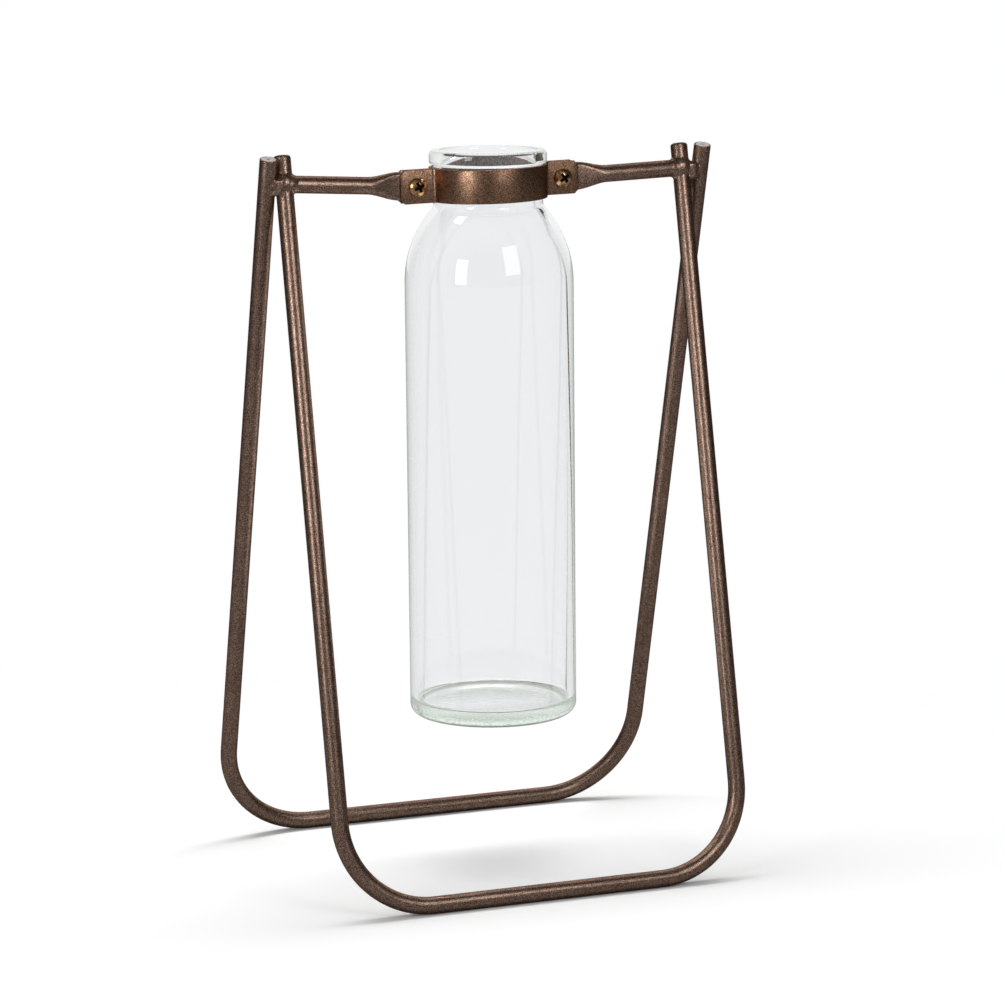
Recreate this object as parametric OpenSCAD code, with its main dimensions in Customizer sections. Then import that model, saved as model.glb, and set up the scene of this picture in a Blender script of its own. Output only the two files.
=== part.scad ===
// Hanging bottle vase: a glass bottle held by its neck in a two-part collar,
// between two bent rod frames that lean together and cross at their tops.
// Millimetres. Z is up, the floor is z = 0, X runs along the arms and the
// origin is the middle of the two feet.

/* [Leg frames] */
// Diameter of every rod
rod_d = 6.5; // [5:0.1:7.5]
// Distance between the two feet, centre to centre
stance = 134; // [110:1:160]
// How far the bottle hangs in front of the middle of the feet
hang_offset = 8; // [0:0.5:15]
// Height of the point where the legs cross and the arms are welded on
crossing_z = 265; // [245:0.5:290]
// Width of the front frame between the centres of its legs
front_span = 158.8; // [150:0.2:190]
// Gap between the front and the rear rod where they cross on the left
left_leg_gap = 0.2; // [0.1:0.1:0.6]
// Gap between the front and the rear rod where they cross on the right
right_leg_gap = 1.4; // [0.1:0.1:1.6]
// Bend radius of the front frame, at the centre of the rod
front_bend_r = 33.7; // [20:0.1:50]
// Bend radius of the rear frame, at the centre of the rod
rear_bend_r = 36; // [20:0.1:50]
// How far the front frame's left leg runs on past the crossing
front_left_rise = 10.6; // [6:0.1:20]
// How far the front frame's right leg runs on past the crossing
front_right_rise = 9.4; // [6:0.1:20]
// How far the rear frame's left leg runs on past the crossing
rear_left_rise = 10; // [6:0.1:20]
// How far the rear frame's right leg runs on past the crossing
rear_right_rise = 9.1; // [6:0.1:20]

/* [Arms] */
// Thickness of the flattened end of an arm
flat_t = 3; // [2.4:0.1:3.6]
// Width of the flattened end of an arm
flat_w = 10.6; // [8:0.1:12]
// Length over which the flattened end turns into the round rod, beyond the ears
flare_l = 12.5; // [8:0.5:20]
// Gap between the collar's band and the end of an arm
arm_end_gap = 1; // [0.5:0.1:2]
// How far the tips of the arm's coped end stop short of the leg's axis
cope_trim = 0.6; // [0.3:0.1:1]

/* [Collar] */
// How far the middle of the collar and the screws lie below the crossing
collar_drop = 2.3; // [0:0.1:8]
// Degrees that the collar leans down to the left, as it is bolted up
collar_tilt = 1.2; // [0:0.1:1.5]
// Height of the collar's metal strip
strip_h = 12.5; // [11:0.1:13.5]
// Thickness of the collar's metal strip
strip_t = 1.2; // [0.8:0.1:1.5]
// Gap between the bottle's neck and the collar's band
neck_gap = 0.4; // [0.3:0.05:0.8]
// Distance from the outside of the band to the middle of each screw
screw_gap = 6.8; // [6:0.1:9]
// Distance from a screw to the outer edge of its ears
ear_margin = 6.5; // [5:0.1:9]
// Cut across each outer corner of the ears
ear_chamfer = 1.6; // [0.5:0.1:3]
// Bend radius between the band and an ear, on the hollow side
ear_bend_r = 1.8; // [0.8:0.1:2.2]

/* [Screws] */
// Thread diameter of the screws
screw_d = 3.5; // [3:0.1:4.2]
// How much wider the holes in the ears and the arms are than the screws
hole_play = 0.5; // [0.2:0.1:1]
// Diameter of the screw head
head_d = 7.1; // [6.4:0.1:8]
// Height of the screw head
head_h = 2.5; // [2.2:0.1:3]
// Width of the nuts across their flats
nut_w = 6; // [5.5:0.1:7]
// Thickness of the nuts
nut_h = 2.8; // [2:0.1:3.6]
// How far a screw stands out of its nut
screw_out = 1.4; // [0.5:0.1:3]

/* [Bottle] */
// Height of the bottle
bottle_h = 215.2; // [180:0.2:216.6]
// Outer diameter of the body
body_d = 63.6; // [56:0.1:68]
// Outer diameter of the neck
neck_d = 41.2; // [36:0.1:44]
// Length of the straight neck
neck_h = 14.7; // [14.2:0.1:18]
// How far the lip stands out from the neck all round
lip_out = 1.5; // [1:0.1:2]
// Height of the lip above its seat on the collar
lip_h = 5.1; // [4.2:0.1:6]
// Gap between the collar and the lip that hangs on it
seat_gap = 0.3; // [0.3:0.05:0.6]
// Thickness of the glass wall
wall = 2.6; // [1.5:0.1:3]
// Thickness of the glass floor at its edge
base_t = 5.5; // [5:0.1:9]
// Radius of the shoulder's curve
shoulder_r = 43; // [30:0.5:60]
// Radius of the hollow curve between the shoulder and the neck
neck_fillet_r = 3; // [1.5:0.1:4]
// Radius of the rounded heel
heel_r = 3.9; // [2:0.1:6]
// Radius between the inside of the wall and the floor
floor_r = 1.8; // [1:0.1:4]
// Height of the hollow under the base
punt_h = 2; // [1:0.1:3]

/* [Welds] */
// Diameter of the weld around the outer end of an arm
arm_weld_d = 8.6; // [8:0.1:11]
// Distance from the leg's axis to the middle of that weld
arm_weld_back = 2.6; // [2:0.1:3]
// Thickness of the weld between the two legs
leg_weld_d = 6.8; // [5:0.1:7]
// Height of the weld between the two legs
leg_weld_h = 13; // [9:0.5:15]

/* [Hidden] */
$fn = 96;
hull_fn = 32;
arc_steps = 12;
cut = 1;
hair = 0.01;
// Degrees by which two curved stretches of one strip run into each other
lap = 1;

coat = "#5a463a";
glass = [0.86, 0.93, 0.9, 0.4];
zinc = "#b39a5c";

rod_r = rod_d / 2;
hang_y = -hang_offset;
front_foot_y = -stance / 2;
rear_foot_y = stance / 2;
rear_span = front_span + 2 * rod_d + left_leg_gap + right_leg_gap;
// How far the front frame sits to the left of the rear one
front_shift = (right_leg_gap - left_leg_gap) / 2;
collar_z = crossing_z - collar_drop;
screw_hole_d = screw_d + hole_play;
// Each frame leans from its foot to the crossing; the distances are along the leg
front_lean = atan2(front_foot_y - hang_y, crossing_z - rod_r);
rear_lean = atan2(rear_foot_y - hang_y, crossing_z - rod_r);
front_leg_l = norm([front_foot_y - hang_y, crossing_z - rod_r]);
rear_leg_l = norm([rear_foot_y - hang_y, crossing_z - rod_r]);

neck_r = neck_d / 2;
body_r = body_d / 2;
band_in_r = neck_r + neck_gap;
band_out_r = band_in_r + strip_t;
screw_x = band_out_r + screw_gap;
ear_reach = screw_x + ear_margin;
collar_top = collar_z + strip_h / 2;
ear_in_y = flat_t / 2;
ear_out_y = ear_in_y + strip_t;
// Centre of the bend between the band and the right ear of the front half
bend_y = -(ear_out_y + ear_bend_r);
bend_x = sqrt(pow(band_out_r + ear_bend_r, 2) - pow(bend_y, 2));
bend_angle = atan2(-bend_y, bend_x);

// Each arm climbs from its screw to the crossing; side is -1 or 1, and distances are from the middle
function leg_x(side) = front_span / 2 - side * front_shift;
function screw_at(side) = [screw_x * cos(collar_tilt), collar_z + side * screw_x * sin(collar_tilt)];
function arm_path(side) = [leg_x(side), crossing_z] - screw_at(side);
flat_in = arm_end_gap - screw_gap;
flat_out = ear_margin;
flare_steps = 5;

// Cross recess of the screws: share of the head's diameter and height
recess_span_share = 0.58;
recess_w_share = 0.15;
recess_depth_share = 0.7;
head_side_share = 0.35;
recess_turn = [25, 35];
nut_chamfer_share = 0.12;
// Rounding of the lip as a share of its width, and the hollow's as a share of the foot ring
lip_edge_share = 0.3;
punt_share = 0.88;

// The lip hangs clear of the collar's high side
seat_z = collar_top + band_out_r * sin(collar_tilt) + seat_gap;
lip_top = seat_z + lip_h;
bottle_z = lip_top - bottle_h;
neck_z = seat_z - neck_h;
lip_r = neck_r + lip_out;
mouth_r = neck_r - wall;
lip_edge_r = (lip_r - mouth_r) * lip_edge_share;
// Centre of the fillet between shoulder and neck, and the angle where they meet
fillet_x = neck_r + neck_fillet_r;
shoulder_x = body_r - shoulder_r;
fillet_rise = sqrt(pow(shoulder_r + neck_fillet_r, 2) - pow(fillet_x - shoulder_x, 2));
shoulder_z = neck_z - fillet_rise;
meet_angle = atan2(fillet_rise, fillet_x - shoulder_x);
bearing_r = body_r - heel_r;
punt_r = bearing_r * punt_share;
punt_sphere_r = (pow(punt_r, 2) + pow(punt_h, 2)) / (2 * punt_h);
punt_angle = asin(punt_r / punt_sphere_r);

// Points of an arc in the plane of a profile, from angle a to angle b
function arc(x, y, r, a, b) =
    [for (i = [0:arc_steps]) let (t = a + (b - a) * i / arc_steps) [x + r * cos(t), y + r * sin(t)]];

// A shape that eases from 0 to 1
function ease(t) = t * t * (3 - 2 * t);

// Places children in the plane of a leaning frame, with its foot's axis as z = 0
module lean(foot_y, angle) {
    translate([0, foot_y, rod_r])
        rotate([angle, 0, 0])
            children();
}

// One straight leg as a plain rod, from the foot's height up
module leg_rod(x, start, end) {
    translate([x, 0, start])
        cylinder(r = rod_r, h = end - start);
}

module bend(x, r, start) {
    translate([x, 0, r])
        rotate([90, 0, 0])
            rotate_extrude(angle = 90, start = start)
                translate([r, 0])
                    circle(r = rod_r);
}

// A rod bent into a U that stands on its middle run
module bent_frame(span, bend_r, leg_l, left_rise, right_rise) {
    run = span / 2 - bend_r;
    translate([-run, 0, 0])
        rotate([0, 90, 0])
            cylinder(r = rod_r, h = 2 * run);
    bend(-run, bend_r, 180);
    bend(run, bend_r, 270);
    leg_rod(-span / 2, bend_r, leg_l + left_rise);
    leg_rod(span / 2, bend_r, leg_l + right_rise);
}

module front_leg_frame() {
    color(coat)
        translate([-front_shift, 0, 0])
            lean(front_foot_y, front_lean)
                bent_frame(front_span, front_bend_r, front_leg_l, front_left_rise, front_right_rise);
}

module rear_leg_frame() {
    color(coat)
        lean(rear_foot_y, rear_lean)
            bent_frame(rear_span, rear_bend_r, rear_leg_l, rear_left_rise, rear_right_rise);
}

// Arms and welds are drawn on the right, with the legs as far out as they are on their side;
// the left ones are then mirrored. These are the rods that they are cut to fit.
module front_leg_cutter(side) {
    lean(front_foot_y, front_lean)
        leg_rod(leg_x(side), front_leg_l / 2, front_leg_l + front_left_rise + front_right_rise);
}

module rear_leg_cutter() {
    lean(rear_foot_y, rear_lean)
        leg_rod(rear_span / 2, rear_leg_l / 2, rear_leg_l + rear_left_rise + rear_right_rise);
}

// Places children at a screw, turned along its arm
module along_arm(side) {
    at = screw_at(side);
    path = arm_path(side);
    translate([at.x, hang_y, at.y])
        rotate([0, -atan2(path.y, path.x), 0])
            children();
}

module on_side(side) {
    mirror([side < 0 ? 1 : 0, 0, 0])
        children();
}

module rod_along_x(from, to, r) {
    translate([from, 0, 0])
        rotate([0, 90, 0])
            cylinder(r = r, h = to - from);
}

// Slice of the arm where the rod is t of the way from flat to round
module flare_slice(t) {
    thick = flat_t + (rod_d - flat_t) * ease(t);
    wide = flat_w + (rod_d - flat_w) * ease(t);
    for (end = [-1, 1])
        translate([0, 0, end * (wide - thick) / 2])
            rod_along_x(0, hair, thick / 2, $fn = hull_fn);
}

module flat_end() {
    half_w = (flat_w - flat_t) / 2;
    difference() {
        union() {
            translate([flat_in, -flat_t / 2, -half_w])
                cube([flat_out + hair - flat_in, flat_t, 2 * half_w]);
            for (end = [-1, 1])
                translate([0, 0, end * half_w])
                    rod_along_x(flat_in, flat_out + hair, flat_t / 2);
        }
        rotate([90, 0, 0])
            cylinder(d = screw_hole_d, h = flat_t + 2 * cut, center = true);
    }
}

module flare() {
    for (i = [0:flare_steps - 1])
        hull()
            for (j = [i, i + 1])
                translate([flat_out + flare_l * j / flare_steps, 0, 0])
                    flare_slice(j / flare_steps);
}

// Arm: flattened and drilled at the collar, coped to the leg at the other end
module arm(side) {
    color(coat)
        on_side(side)
            difference() {
                along_arm(side) {
                    flat_end();
                    flare();
                    rod_along_x(flat_out + flare_l, norm(arm_path(side)) - cope_trim, rod_r);
                }
                front_leg_cutter(side);
            }
}

module left_arm() {
    arm(-1);
}

module right_arm() {
    arm(1);
}

// Right ear of the front half: a plate with two cut corners and a screw hole
module ear() {
    half_h = strip_h / 2;
    difference() {
        translate([0, -ear_in_y, 0])
            rotate([90, 0, 0])
                linear_extrude(height = strip_t)
                    polygon([[bend_x, -half_h], [ear_reach - ear_chamfer, -half_h],
                             [ear_reach, ear_chamfer - half_h], [ear_reach, half_h - ear_chamfer],
                             [ear_reach - ear_chamfer, half_h], [bend_x, half_h]]);
        translate([screw_x, 0, 0])
            rotate([90, 0, 0])
                cylinder(d = screw_hole_d, h = ear_out_y + cut);
    }
}

// Strip that follows an arc of the collar
module strip_arc(r, start, angle) {
    rotate_extrude(angle = angle, start = start)
        translate([r, -strip_h / 2])
            square([strip_t, strip_h]);
}

module collar_half() {
    strip_arc(band_in_r, 180 + bend_angle, 180 - 2 * bend_angle);
    for (side = [0, 1])
        mirror([side, 0, 0]) {
            translate([bend_x, bend_y, 0])
                strip_arc(ear_bend_r, 90 - lap, 90 - bend_angle + 2 * lap);
            ear();
        }
}

// Places children at the middle of the collar, tilted as the collar is
module at_collar() {
    translate([0, hang_y, collar_z])
        rotate([0, -collar_tilt, 0])
            children();
}

module front_collar_half() {
    color(coat)
        at_collar()
            collar_half();
}

module rear_collar_half() {
    color(coat)
        at_collar()
            mirror([0, 1, 0])
                collar_half();
}

// Places children at a screw's axis with z pointing out of the front of the collar
module at_screw(side) {
    at_collar()
        translate([side * screw_x, 0, 0])
            rotate([90, 0, 0])
                children();
}

module screw_head() {
    side_h = head_h * head_side_share;
    crown_h = head_h - side_h;
    crown_r = (pow(head_d / 2, 2) + pow(crown_h, 2)) / (2 * crown_h);
    crown_angle = asin(head_d / 2 / crown_r);
    rotate_extrude()
        polygon(concat([[0, 0], [head_d / 2, 0]],
                       arc(0, head_h - crown_r, crown_r, 90 - crown_angle, 90)));
}

module cross_recess(turn) {
    span = head_d * recess_span_share;
    wing = head_d * recess_w_share;
    depth = head_h * recess_depth_share;
    translate([0, 0, head_h - depth])
        for (quarter = [0, 90])
            rotate(turn + quarter)
                translate([-span / 2, -wing / 2, 0])
                    cube([span, wing, depth + cut]);
    translate([0, 0, head_h - depth])
        cylinder(r1 = wing / 2, r2 = wing, h = depth + cut);
}

module pan_screw(side, turn) {
    shank_end = ear_out_y + head_h * head_side_share / 2;
    shank_start = -ear_out_y - nut_h - screw_out;
    color(zinc)
        at_screw(side) {
            translate([0, 0, ear_out_y])
                difference() {
                    screw_head();
                    cross_recess(turn);
                }
            translate([0, 0, shank_start])
                cylinder(d = screw_d, h = shank_end - shank_start);
        }
}

module left_screw() {
    pan_screw(-1, recess_turn[0]);
}

module right_screw() {
    pan_screw(1, recess_turn[1]);
}

module hex_nut(side) {
    corner_d = nut_w / cos(30);
    bevel = nut_h * nut_chamfer_share;
    color(zinc)
        at_screw(side)
            translate([0, 0, -ear_out_y - nut_h])
                difference() {
                    intersection() {
                        cylinder(d = corner_d, h = nut_h, $fn = 6);
                        union() {
                            translate([0, 0, bevel])
                                cylinder(d = corner_d + hair, h = nut_h - bevel);
                            cylinder(d1 = nut_w, d2 = corner_d + hair, h = bevel);
                        }
                    }
                    translate([0, 0, -cut])
                        cylinder(d = screw_d + 2 * hair, h = nut_h + 2 * cut);
                }
}

module left_nut() {
    hex_nut(-1);
}

module right_nut() {
    hex_nut(1);
}

// Weld around the coped end of an arm: a ball with the arm's rod through it
module arm_weld(side) {
    color(coat)
        on_side(side)
            difference() {
                along_arm(side)
                    translate([norm(arm_path(side)) - arm_weld_back, 0, 0])
                        rotate([0, 90, 0])
                            rotate_extrude()
                                intersection() {
                                    circle(d = arm_weld_d);
                                    translate([rod_r, -arm_weld_d / 2])
                                        square([arm_weld_d, arm_weld_d]);
                                }
                front_leg_cutter(side);
            }
}

// Weld run down in the groove between the two legs of one side
module leg_weld(side) {
    reach = (leg_weld_h - leg_weld_d) / 2;
    color(coat)
        on_side(side)
            difference() {
                translate([(leg_x(side) + rear_span / 2) / 2, hang_y, crossing_z]) {
                    translate([0, 0, -reach])
                        cylinder(d = leg_weld_d, h = 2 * reach);
                    for (end = [-1, 1])
                        translate([0, 0, end * reach])
                            sphere(d = leg_weld_d);
                }
                front_leg_cutter(side);
                rear_leg_cutter();
                along_arm(side)
                    translate([norm(arm_path(side)) - arm_weld_back, 0, 0])
                        sphere(d = arm_weld_d);
            }
}

module left_arm_weld() {
    arm_weld(-1);
}

module right_arm_weld() {
    arm_weld(1);
}

module left_leg_weld() {
    leg_weld(-1);
}

module right_leg_weld() {
    leg_weld(1);
}

// Outer skin of the bottle from the hollow under its base up to the lip
outside = concat(
    arc(0, bottle_z + punt_h - punt_sphere_r, punt_sphere_r, 90, 90 - punt_angle),
    arc(bearing_r, bottle_z + heel_r, heel_r, 270, 360),
    arc(shoulder_x, shoulder_z, shoulder_r, 0, meet_angle),
    arc(fillet_x, neck_z, neck_fillet_r, 180 + meet_angle, 180),
    [[neck_r, seat_z], [lip_r, seat_z + lip_out]],
    arc(lip_r - lip_edge_r, lip_top - lip_edge_r, lip_edge_r, 0, 90));

// Inner skin from the mouth down to the floor
inside = concat(
    arc(mouth_r + lip_edge_r, lip_top - lip_edge_r, lip_edge_r, 90, 180),
    arc(fillet_x, neck_z, neck_fillet_r + wall, 180, 180 + meet_angle),
    arc(shoulder_x, shoulder_z, shoulder_r - wall, meet_angle, 0),
    arc(body_r - wall - floor_r, bottle_z + base_t + floor_r, floor_r, 360, 270),
    [[0, bottle_z + base_t]]);

module glass_bottle() {
    color(glass)
        translate([0, hang_y, 0])
            rotate_extrude()
                polygon(concat(outside, inside));
}

glass_bottle();
front_collar_half();
rear_collar_half();
left_arm();
right_arm();
front_leg_frame();
rear_leg_frame();
left_screw();
right_screw();
left_nut();
right_nut();
left_arm_weld();
right_arm_weld();
left_leg_weld();
right_leg_weld();
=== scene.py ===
import math

import bmesh
import bpy
import numpy as np
from mathutils import Matrix, Vector


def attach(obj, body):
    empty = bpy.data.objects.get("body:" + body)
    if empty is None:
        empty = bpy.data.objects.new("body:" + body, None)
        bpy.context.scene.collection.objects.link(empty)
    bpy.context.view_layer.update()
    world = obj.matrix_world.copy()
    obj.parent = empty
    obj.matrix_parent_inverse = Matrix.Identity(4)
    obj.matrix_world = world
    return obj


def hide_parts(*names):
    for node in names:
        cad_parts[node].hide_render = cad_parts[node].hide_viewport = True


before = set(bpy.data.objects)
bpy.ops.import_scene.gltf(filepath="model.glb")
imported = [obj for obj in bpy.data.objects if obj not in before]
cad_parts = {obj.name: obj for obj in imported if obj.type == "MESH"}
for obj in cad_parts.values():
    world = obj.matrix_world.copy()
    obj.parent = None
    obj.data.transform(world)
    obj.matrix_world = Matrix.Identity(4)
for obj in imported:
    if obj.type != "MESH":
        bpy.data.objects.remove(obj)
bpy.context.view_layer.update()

# Sizes are in metres. X runs along the arms, the camera stands in front, at -Y.
MM = 0.001
FULL = 2 * math.pi

# Leg frames, bent from round rod. Their runs stand STANCE apart, and they cross over HANG_Y at CROSSING_Z.
# Pairs are left and right: the gaps between the frames' legs, and how far the legs' ends go past the crossing.
ROD_R = 3.25 * MM
STANCE = 134 * MM
HANG_Y = -8 * MM
CROSSING_Z = 265 * MM
FRONT_SPAN = 158.8 * MM
LEG_GAPS = (0.2 * MM, 1.4 * MM)
REAR_SPAN = FRONT_SPAN + 4 * ROD_R + sum(LEG_GAPS)
FRONT_SHIFT = (LEG_GAPS[0] - LEG_GAPS[1]) / 2
FRONT_BEND_R = 33.7 * MM
REAR_BEND_R = 36 * MM
FRONT_RISES = (10.6 * MM, 9.4 * MM)
REAR_RISES = (10 * MM, 9.1 * MM)
ROD_SIDES = 64
BEND_STEPS = 28

# Ends of the legs: the front ones are coated over, the rear ones were sawn after coating
COATED_EDGE_R = 1.1 * MM
SAWN_EDGE_R = 0.3 * MM
COAT_RIM = 0.28 * MM
COAT_RAGGED = 0.12 * MM
COAT_SLOPE = 0.05 * MM
COAT_STEP = 0.04 * MM
DIMPLE_R = 0.45 * MM
DIMPLE_SLOPE = 0.25 * MM
DIMPLE_DEPTH = 0.3 * MM
FLAT_SHARE = 0.8
RAGGED_SEED = 7

# Collar, bent from a strip
STRIP_H = 12.5 * MM
STRIP_T = 1.2 * MM
NECK_GAP = 0.4 * MM
SCREW_GAP = 6.8 * MM
EAR_MARGIN = 6.5 * MM
EAR_CHAMFER = 1.6 * MM
EAR_BEND_R = 1.8 * MM
COLLAR_Z = CROSSING_Z - 2.3 * MM
COLLAR_TILT = math.radians(1.2)
EDGE_R = 0.25 * MM

# Arms
FLAT_T = 3 * MM
FLAT_W = 10.6 * MM
FLARE_L = 12.5 * MM
ARM_END_GAP = 1 * MM
COPE_SHARE = 0.9

# Welds: how far their skin reaches along each rod, and the beads, post and web that it runs over
WELD_BELOW = 9 * MM
WELD_ABOVE = 6.2 * MM
WELD_ON_ARM = 9 * MM
TOE_R = 3.9 * MM
TOE_OUT = 2.2 * MM
BEAD_RADII_MM = (4.2, 4.2, 4.9)
POST_R = 3.3 * MM
POST_HALF_H = 2.9 * MM
POST_FORWARD = 0.6 * MM
POST_DROP = 1 * MM
WEB_R = 2.8 * MM
WEB_OUT = 3 * MM
WEB_FORWARD = 1.3 * MM
WEB_DROP = 0.5 * MM
SKIN_GRID = 0.25 * MM

# Screws and nuts
SCREW_D = 3.5 * MM
HEAD_D = 7.1 * MM
HEAD_H = 2.5 * MM
HEAD_EDGE = 0.15 * MM
HEAD_SIDE_SHARE = 0.35
RECESS_REACH_SHARE = 0.32
RECESS_WING_SHARE = 0.09
RECESS_DEPTH_SHARE = 0.62
NUT_W = 6 * MM
NUT_H = 2.8 * MM
NUT_BEVEL_SHARE = 0.12
SCREW_OUT = 1.4 * MM
THREAD_PITCH = 0.6 * MM
RIDGE_SHARE = 0.52

# Bottle
BOTTLE_H = 215.2 * MM
BODY_R = 31.8 * MM
NECK_R = 20.6 * MM
NECK_H = 14.7 * MM
LIP_OUT = 1.5 * MM
LIP_H = 5.1 * MM
LIP_ROOT_R = 0.5 * MM
LIP_UNDER_R = 0.8 * MM
LIP_EDGE_SHARE = 0.3
SEAT_GAP = 0.3 * MM
WALL = 2.6 * MM
BASE_T = 5.5 * MM
SHOULDER_R = 43 * MM
NECK_FILLET_R = 3 * MM
HEEL_R = 3.9 * MM
FLOOR_R = 1.8 * MM
PUNT_H = 2 * MM
PUNT_SHARE = 0.88
BOTTLE_SIDES = 432

# Heights above the bottle's bottom over which the heel's stipple and its painted dark line fade out, and how far
# inside its bearing circle that painted line begins and is full
STIPPLE_FADE = (1.885 * MM, 4.385 * MM)
PAINTED_LINE_FADE = (0.885 * MM, 1.585 * MM)
PAINTED_LINE_INSIDE = (1.1 * MM, 0.3 * MM)

# Floor: its size, the share of its white that no lamp gives, and where it begins and ends to turn into backdrop
FLOOR_HALF = 4.0
FLOOR_GLOW = 0.08
BACKDROP_FROM = 0.2
BACKDROP_FULL = 0.42

BAND_IN_R = NECK_R + NECK_GAP
BAND_OUT_R = BAND_IN_R + STRIP_T
SCREW_X = BAND_OUT_R + SCREW_GAP
EAR_REACH = SCREW_X + EAR_MARGIN
EAR_OUT_Y = FLAT_T / 2 + STRIP_T
SEAT_Z = COLLAR_Z + STRIP_H / 2 + BAND_OUT_R * math.sin(COLLAR_TILT) + SEAT_GAP
LIP_TOP_Z = SEAT_Z + LIP_H
BOTTLE_Z = LIP_TOP_Z - BOTTLE_H
BEARING_R = BODY_R - HEEL_R


# Helpers


def linear(hex_colour):
    """Linear RGBA of an sRGB hex colour."""
    parts = [int(hex_colour[i:i + 2], 16) / 255 for i in (1, 3, 5)]
    return [p / 12.92 if p <= 0.04045 else ((p + 0.055) / 1.055) ** 2.4 for p in parts] + [1]


def add(tree, kind, inputs=None, **settings):
    """A node with its settings, its values and, where an input is a socket, its links."""
    node = tree.nodes.new(kind)
    for name, value in settings.items():
        setattr(node, name, value)
    for socket, value in (inputs or {}).items():
        if isinstance(value, bpy.types.NodeSocket):
            tree.links.new(value, node.inputs[socket])
        else:
            node.inputs[socket].default_value = value
    return node


def new_material(name):
    mat = bpy.data.materials.new(name)
    mat.use_nodes = True
    mat.node_tree.nodes.clear()
    return mat, mat.node_tree


def new_object(name, mesh, material=None):
    obj = bpy.data.objects.new(name, mesh)
    bpy.context.scene.collection.objects.link(obj)
    if material is not None:
        mesh.materials.append(material)
    return obj


def mesh_of(name, verts, faces):
    mesh = bpy.data.meshes.new(name)
    mesh.from_pydata([tuple(v) for v in verts], [], faces)
    mesh.update()
    return mesh


def mesh_from(bm, name):
    """A mesh with the shape of a BMesh, which is freed."""
    mesh = bpy.data.meshes.new(name)
    bm.to_mesh(mesh)
    bm.free()
    return mesh


def outward(mesh):
    """Merge doubles, turn every face outwards and shade smooth."""
    bm = bmesh.new()
    bm.from_mesh(mesh)
    bmesh.ops.remove_doubles(bm, verts=bm.verts, dist=0.001 * MM)
    bmesh.ops.recalc_face_normals(bm, faces=bm.faces)
    for face in bm.faces:
        face.smooth = True
    bm.to_mesh(mesh)
    bm.free()


def baked(obj):
    """Replace an object's modifiers by the mesh that they make."""
    depsgraph = bpy.context.evaluated_depsgraph_get()
    mesh = bpy.data.meshes.new_from_object(obj.evaluated_get(depsgraph))
    mesh.name = obj.name
    if not mesh.materials:
        for material in obj.data.materials:
            mesh.materials.append(material)
    if obj.type == "MESH":
        obj.modifiers.clear()
        obj.data = mesh
        return obj
    name = obj.name
    bpy.data.objects.remove(obj)
    return new_object(name, mesh)


def sharpen(obj, degrees):
    """Shade smooth, apart from edges over this angle."""
    obj.data.set_sharp_from_angle(angle=math.radians(degrees))


def bands(rows, count):
    """Four-sided faces between rows of points, each row closed on itself."""
    faces = []
    for i in range(rows - 1):
        for j in range(count):
            k = (j + 1) % count
            faces.append((i * count + j, i * count + k, (i + 1) * count + k, (i + 1) * count + j))
    return faces


def loft(name, rings, material):
    """A solid through rings of points, all of one length."""
    count = len(rings[0])
    faces = bands(len(rings), count)
    faces.append(tuple(range(count)))
    faces.append(tuple((len(rings) - 1) * count + j for j in range(count)))
    mesh = mesh_of(name, [p for ring in rings for p in ring], faces)
    outward(mesh)
    return new_object(name, mesh, material)


def lathe(name, profile, sides, material):
    """A solid turned about Z from (radius, height) points that start and end on the axis."""
    angles = np.arange(sides) * FULL / sides
    verts = []
    for r, z in profile[1:-1]:
        verts += [(r * math.cos(a), r * math.sin(a), z) for a in angles]
    rows = len(profile) - 2
    first, last = len(verts), len(verts) + 1
    verts += [(0, 0, profile[0][1]), (0, 0, profile[-1][1])]
    faces = bands(rows, sides)
    for j in range(sides):
        k = (j + 1) % sides
        faces.append((first, k, j))
        faces.append((last, (rows - 1) * sides + j, (rows - 1) * sides + k))
    return new_object(name, mesh_of(name, verts, faces), material)


def arc(x, y, r, start, end, steps):
    """Points of an arc, from one angle in degrees to another."""
    turns = np.radians(np.linspace(start, end, steps + 1))
    return [(x + r * math.cos(t), y + r * math.sin(t)) for t in turns]


def ease(t):
    """From 0 to 1, slow at both ends."""
    return t * t * (3 - 2 * t)


def at_collar():
    """Where the collar's middle is, and how it leans."""
    return Matrix.Translation((0, HANG_Y, COLLAR_Z)) @ Matrix.Rotation(-COLLAR_TILT, 4, "Y")


def at_screw(side):
    """A screw's axis, with z out of the front of the collar."""
    return at_collar() @ Matrix.Translation((side * SCREW_X, 0, 0)) @ Matrix.Rotation(math.pi / 2, 4, "X")


def crossing(side):
    """Where an arm meets the front leg of its side."""
    return Vector((FRONT_SHIFT + side * FRONT_SPAN / 2, HANG_Y, CROSSING_Z))


def place(obj, matrix):
    """Move a piece's mesh, and leave its object at the origin."""
    obj.data.transform(matrix)
    obj.data.update()


def finish_piece(obj, body, slot, *nodes):
    """Put a piece on the body that carries it and hide the CAD nodes that it stands for; slot is not used."""
    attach(obj, body)
    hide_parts(*nodes)


# Materials


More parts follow.
